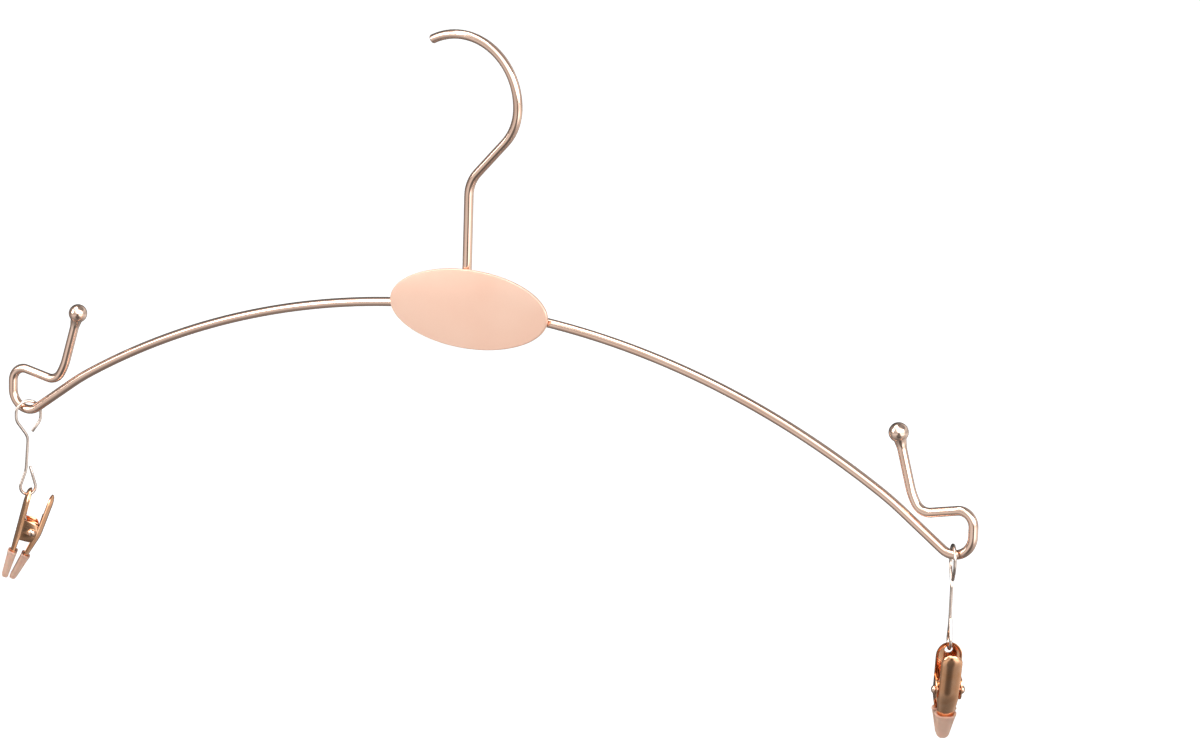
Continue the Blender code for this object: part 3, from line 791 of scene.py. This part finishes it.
# Hinge pins: brass rivets, each with a turned head, put through the ears of both jaws
# and the spring between them, and then headed over outside the far ear.
pin_plating = rose_plating(
    "pin_plating", (0.68, 0.46, 0.34), (0.84, 0.61, 0.48), 0.08, 0.20, 500, 5000, 0.25
)
shoulder, pin_radius, washer_radius = 4.17 * MM, 0.9 * MM, 1.25 * MM
bpy.ops.object.select_all(action="DESELECT")
bpy.ops.mesh.primitive_circle_add(
    vertices=36,
    radius=pin_radius,
    fill_type="NGON",
    location=(0, -shoulder, 0),
    rotation=(math.pi / 2, 0, 0),
)
rivet = start_piece("rivet")
bpy.ops.mesh.extrude_region_move(TRANSFORM_OT_translate={"value": (0, 0, 0)})
spread = washer_radius / pin_radius
bpy.ops.transform.resize(value=(spread, 1, spread))
wide = washer_radius / MM
for radius, step_out in (
    (1.32, 0.08),
    (1.32, 0.12),
    (1.26, 0.20),
    (1.10, 0.26),
    (0.82, 0.24),
    (0.45, 0.15),
    (0.12, 0.04),
):
    bpy.ops.mesh.extrude_region_move(TRANSFORM_OT_translate={"value": (0, -step_out * MM, 0)})
    bpy.ops.transform.resize(value=(radius / wide, 1, radius / wide))
    wide = radius
bpy.ops.object.mode_set(mode="OBJECT")
bpy.ops.object.transform_apply(location=True, rotation=True, scale=True)
bpy.ops.object.mode_set(mode="EDIT")
inner_end = -shoulder - touch
select_faces(rivet, lambda face: is_cut_end(face) and face.calc_center_median().y > inner_end)
bpy.ops.mesh.delete(type="ONLY_FACE")
select_edges(rivet, lambda edge: edge.is_boundary)
bpy.ops.mesh.extrude_edges_move(TRANSFORM_OT_translate={"value": (0, shoulder, 0)})
bpy.ops.object.mode_set(mode="OBJECT")
far_head = rivet.modifiers.new("far_head", "MIRROR")
far_head.use_axis = (False, True, False)
far_head.merge_threshold = 2 * touch
bpy.ops.object.modifier_apply(modifier="far_head")
bpy.ops.object.mode_set(mode="EDIT")
face_outwards()
smooth(rivet, 50)
for side in ("left", "right"):
    placed = copy_to(rivet, f"{side}_rivet", swing[side] @ pin_place)
    settle(placed, pin_plating, f"{side}_clip_body", "pin_finish", f"{side}_hinge_pin")
bpy.data.objects.remove(rivet)


# Springs: three curls of 0.7 mm music wire round the pin, a leg up inside each jaw.
# They are left in their bright drawn finish, with a faint straw tint from tempering.
spring_steel = rose_plating(
    "spring_steel", (0.50, 0.42, 0.36), (0.70, 0.62, 0.55), 0.15, 0.32, 500, 6000, 0.3
)
curl, leg, pitch = 1.75 * MM, 6.0 * MM, 1.15 * MM
spring_size, spring_gap = 0.7 * MM, 0.3 * MM
leg_seat = sheet + spring_gap + spring_size / 2
reach = math.hypot(curl, leg)
phase = math.atan2(curl, leg)
back_slant = math.asin((pin_out - leg_seat - spring_size) / reach) - phase
lever_room = lever_spine - leg * math.tan(knee) - leg_seat - spring_size
front_slant = math.asin(lever_room / reach) - phase + jaw_angle
first, last = math.pi + back_slant, math.tau * 4 - front_slant
width = pitch * (last - first) / math.tau
turns = []
steps = 84
for step in range(steps + 1):
    around = first + (last - first) * step / steps
    across = width * (step / steps - 1 / 2)
    turns.append(Vector((curl * math.cos(around), across, curl * math.sin(around))))
up_back = Vector((-math.sin(back_slant), 0, math.cos(back_slant)))
up_front = Vector((math.sin(front_slant), 0, math.cos(front_slant)))
wires = {}
for name, path, gauges in (
    ("coil", [turns[0] + leg * up_back] + turns, [1.0] * (steps + 2)),
    ("lever_leg", turns[-3:] + [turns[-1] + leg * up_front], [0.93, 0.95, 0.98, 1.0]),
):
    bpy.ops.object.select_all(action="DESELECT")
    bpy.ops.curve.primitive_nurbs_path_add(location=(0, 0, 0))
    wire = bpy.context.object
    wire.name = name
    wire.data.splines.clear()
    spline = wire.data.splines.new("POLY")
    spline.points.add(len(path) - 1)
    for spot, point, gauge in zip(spline.points, path, gauges):
        spot.co = (*point, 1)
        spot.radius = gauge
    wire.data.bevel_depth = spring_size / 2
    wire.data.bevel_resolution = 4
    wire.data.use_fill_caps = True
    bpy.ops.object.convert(target="MESH")
    bpy.ops.object.mode_set(mode="EDIT")
    bpy.ops.mesh.select_all(action="SELECT")
    bpy.ops.mesh.remove_doubles(threshold=touch)
    face_outwards()
    wires[name] = bpy.context.object
    smooth(wires[name], 50)
for side in ("left", "right"):
    placed = copy_to(wires["coil"], f"{side}_coil", swing[side] @ pin_place)
    body = f"{side}_clip_body"
    settle(placed, spring_steel, body, "spring_finish", f"{side}_torsion_spring")
    # The leg inside the lever goes with it, and keeps to the curl when the jaw opens.
    placed = copy_to(wires["lever_leg"], f"{side}_lever_leg", swing[side] @ pin_place)
    settle(placed, spring_steel, f"{side}_front_jaw_body", "spring_finish")
for wire in wires.values():
    bpy.data.objects.remove(wire)


# Tip sleeves: soft caps dipped in salmon-tinted clear vinyl, pushed over both jaw tips
# so that they grip without marking. Each has a rounded end and a rolled mouth.
def clear_vinyl():
    vinyl = bpy.data.materials.new("clear_vinyl")
    vinyl.use_nodes = True
    nodes, links = vinyl.node_tree.nodes, vinyl.node_tree.links
    skin = nodes["Principled BSDF"]
    skin.inputs["IOR"].default_value = 1.5
    skin.inputs["Transmission Weight"].default_value = 0.25
    skin.inputs["Subsurface Weight"].default_value = 0.3
    skin.inputs["Subsurface Radius"].default_value = (1.0, 0.5, 0.35)
    skin.inputs["Subsurface Scale"].default_value = 0.8 * MM
    place = nodes.new("ShaderNodeTexCoord")
    haze = nodes.new("ShaderNodeTexNoise")
    haze.inputs["Scale"].default_value = 450
    haze.inputs["Detail"].default_value = 3
    links.new(place.outputs["Object"], haze.inputs["Vector"])
    tint = nodes.new("ShaderNodeMix")
    tint.data_type = "RGBA"
    tint.inputs["A"].default_value = (0.76, 0.46, 0.34, 1)
    tint.inputs["B"].default_value = (0.92, 0.64, 0.50, 1)
    links.new(haze.outputs["Fac"], tint.inputs["Factor"])
    links.new(tint.outputs["Result"], skin.inputs["Base Color"])
    grain = nodes.new("ShaderNodeTexNoise")
    grain.inputs["Scale"].default_value = 5000
    grain.inputs["Detail"].default_value = 2
    links.new(place.outputs["Object"], grain.inputs["Vector"])
    gloss = nodes.new("ShaderNodeMapRange")
    gloss.inputs["To Min"].default_value = 0.25
    gloss.inputs["To Max"].default_value = 0.42
    links.new(grain.outputs["Fac"], gloss.inputs["Value"])
    links.new(gloss.outputs["Result"], skin.inputs["Roughness"])
    relief = nodes.new("ShaderNodeBump")
    relief.inputs["Strength"].default_value = 0.3
    relief.inputs["Distance"].default_value = 0.02 * MM
    links.new(grain.outputs["Fac"], relief.inputs["Height"])
    links.new(relief.outputs["Normal"], skin.inputs["Normal"])
    return vinyl


def dip_sleeve(name, opens, full_half, full_rise, spine):
    """A sleeve over a jaw whose tip ends at height zero, round on the spine's side."""
    wall, bead, mouth = 0.8 * MM, 0.7 * MM, 8.6 * MM
    share = (mouth - bead) / taper
    tip_width = 2 * tip_half + sheet + 2 * wall
    tip_depth = tip_rise + sheet / 2 + 2 * wall
    wide = tip_width + 2 * (full_half - tip_half) * share
    deep = tip_depth + (full_rise - tip_rise) * share
    spine_round, rim_round = 0.72 * deep, 0.75 * MM
    end_thin, end_narrow = 0.45, 0.3
    shoulder, low = 0.7 * MM, -1.22 * MM
    tall = mouth - bead - shoulder
    outside = spine - opens * wall
    bpy.ops.object.select_all(action="DESELECT")
    bpy.ops.mesh.primitive_cube_add(
        size=1,
        location=(outside + opens * deep / 2, 0, shoulder + tall / 2),
        scale=(deep, wide, tall),
    )
    piece = start_piece(name)
    bpy.ops.object.mode_set(mode="OBJECT")
    bpy.ops.object.transform_apply(location=True, rotation=True, scale=True)
    bpy.ops.object.mode_set(mode="EDIT")
    middle = outside + opens * deep / 2

    def is_corner(edge, on_spine):
        low_end, high_end = (spot.co for spot in edge.verts)
        off = (low_end.x - middle) * opens
        at_side = abs(low_end.y) > wide / 2 - touch
        at_corner = at_side and abs(off) > deep / 2 - touch
        return at_corner and abs(low_end.z - high_end.z) > tall / 2 and (off < 0) == on_spine

    select_edges(piece, lambda edge: is_corner(edge, True))
    bpy.ops.mesh.bevel(offset=spine_round, segments=8, affect="EDGES")
    select_edges(piece, lambda edge: is_corner(edge, False))
    bpy.ops.mesh.bevel(offset=rim_round, segments=5, affect="EDGES")
    select_faces(piece, lambda face: face.normal.z < -0.9)
    bpy.ops.transform.resize(
        value=(tip_depth / deep, tip_width / wide, 1), center_override=(outside, 0, shoulder)
    )
    sunk, thin, narrow = 0.0, 1.0, 1.0
    for step in range(1, 8):
        round_turn = math.pi / 2 * step / 7
        sink = (shoulder - low) * math.sin(round_turn)
        next_thin = end_thin + (1 - end_thin) * math.cos(round_turn)
        next_narrow = end_narrow + (1 - end_narrow) * math.cos(round_turn)
        bpy.ops.mesh.extrude_region_move(TRANSFORM_OT_translate={"value": (0, 0, sunk - sink)})
        bpy.ops.transform.resize(
            value=(next_thin / thin, next_narrow / narrow, 1),
            center_override=(outside + opens * tip_depth / 2, 0, 0),
        )
        sunk, thin, narrow = sink, next_thin, next_narrow
    select_faces(piece, lambda face: face.normal.z > 0.9 and face.calc_center_median().z > 0)
    centre = (middle, 0, mouth)
    for lift, grow in ((0.06, 1.035), (0.14, 1.01), (0.26, 1.0), (0.14, 0.98), (0.10, 0.95)):
        bpy.ops.mesh.extrude_region_move(TRANSFORM_OT_translate={"value": (0, 0, lift * MM)})
        bpy.ops.transform.resize(value=(grow, grow, 1), center_override=centre)
    bpy.ops.mesh.inset(thickness=0.42 * MM)
    bpy.ops.mesh.inset(thickness=0.08 * MM, depth=-0.08 * MM)
    inside = (outside + opens * wall, 0, 0)
    for sink, narrow in ((4.0 * MM, (0.88, 0.82, 1)), (4.4 * MM, (0.72, 0.72, 1))):
        bpy.ops.mesh.extrude_region_move(TRANSFORM_OT_translate={"value": (0, 0, -sink)})
        bpy.ops.transform.resize(value=narrow, center_override=inside)
    face_outwards()
    smooth(piece, 50)
    return piece


vinyl = clear_vinyl()
hanging_cap = dip_sleeve("hanging_cap", 1, big_half, big_rise, 0)
front_cap = dip_sleeve("front_cap", -1, small_half, small_rise, lever_spine)
tip_down = Matrix.Translation((0, 0, -below))
for side in ("left", "right"):
    placed = copy_to(hanging_cap, f"{side}_hanging_cap", swing[side] @ jaw_foot)
    settle(placed, vinyl, f"{side}_clip_body", "sleeve_finish", f"{side}_hanging_sleeve")
    placed = copy_to(front_cap, f"{side}_front_cap", clamp[side] @ tip_down)
    settle(placed, vinyl, f"{side}_front_jaw_body", "sleeve_finish", f"{side}_front_sleeve")
bpy.data.objects.remove(hanging_cap)
bpy.data.objects.remove(front_cap)
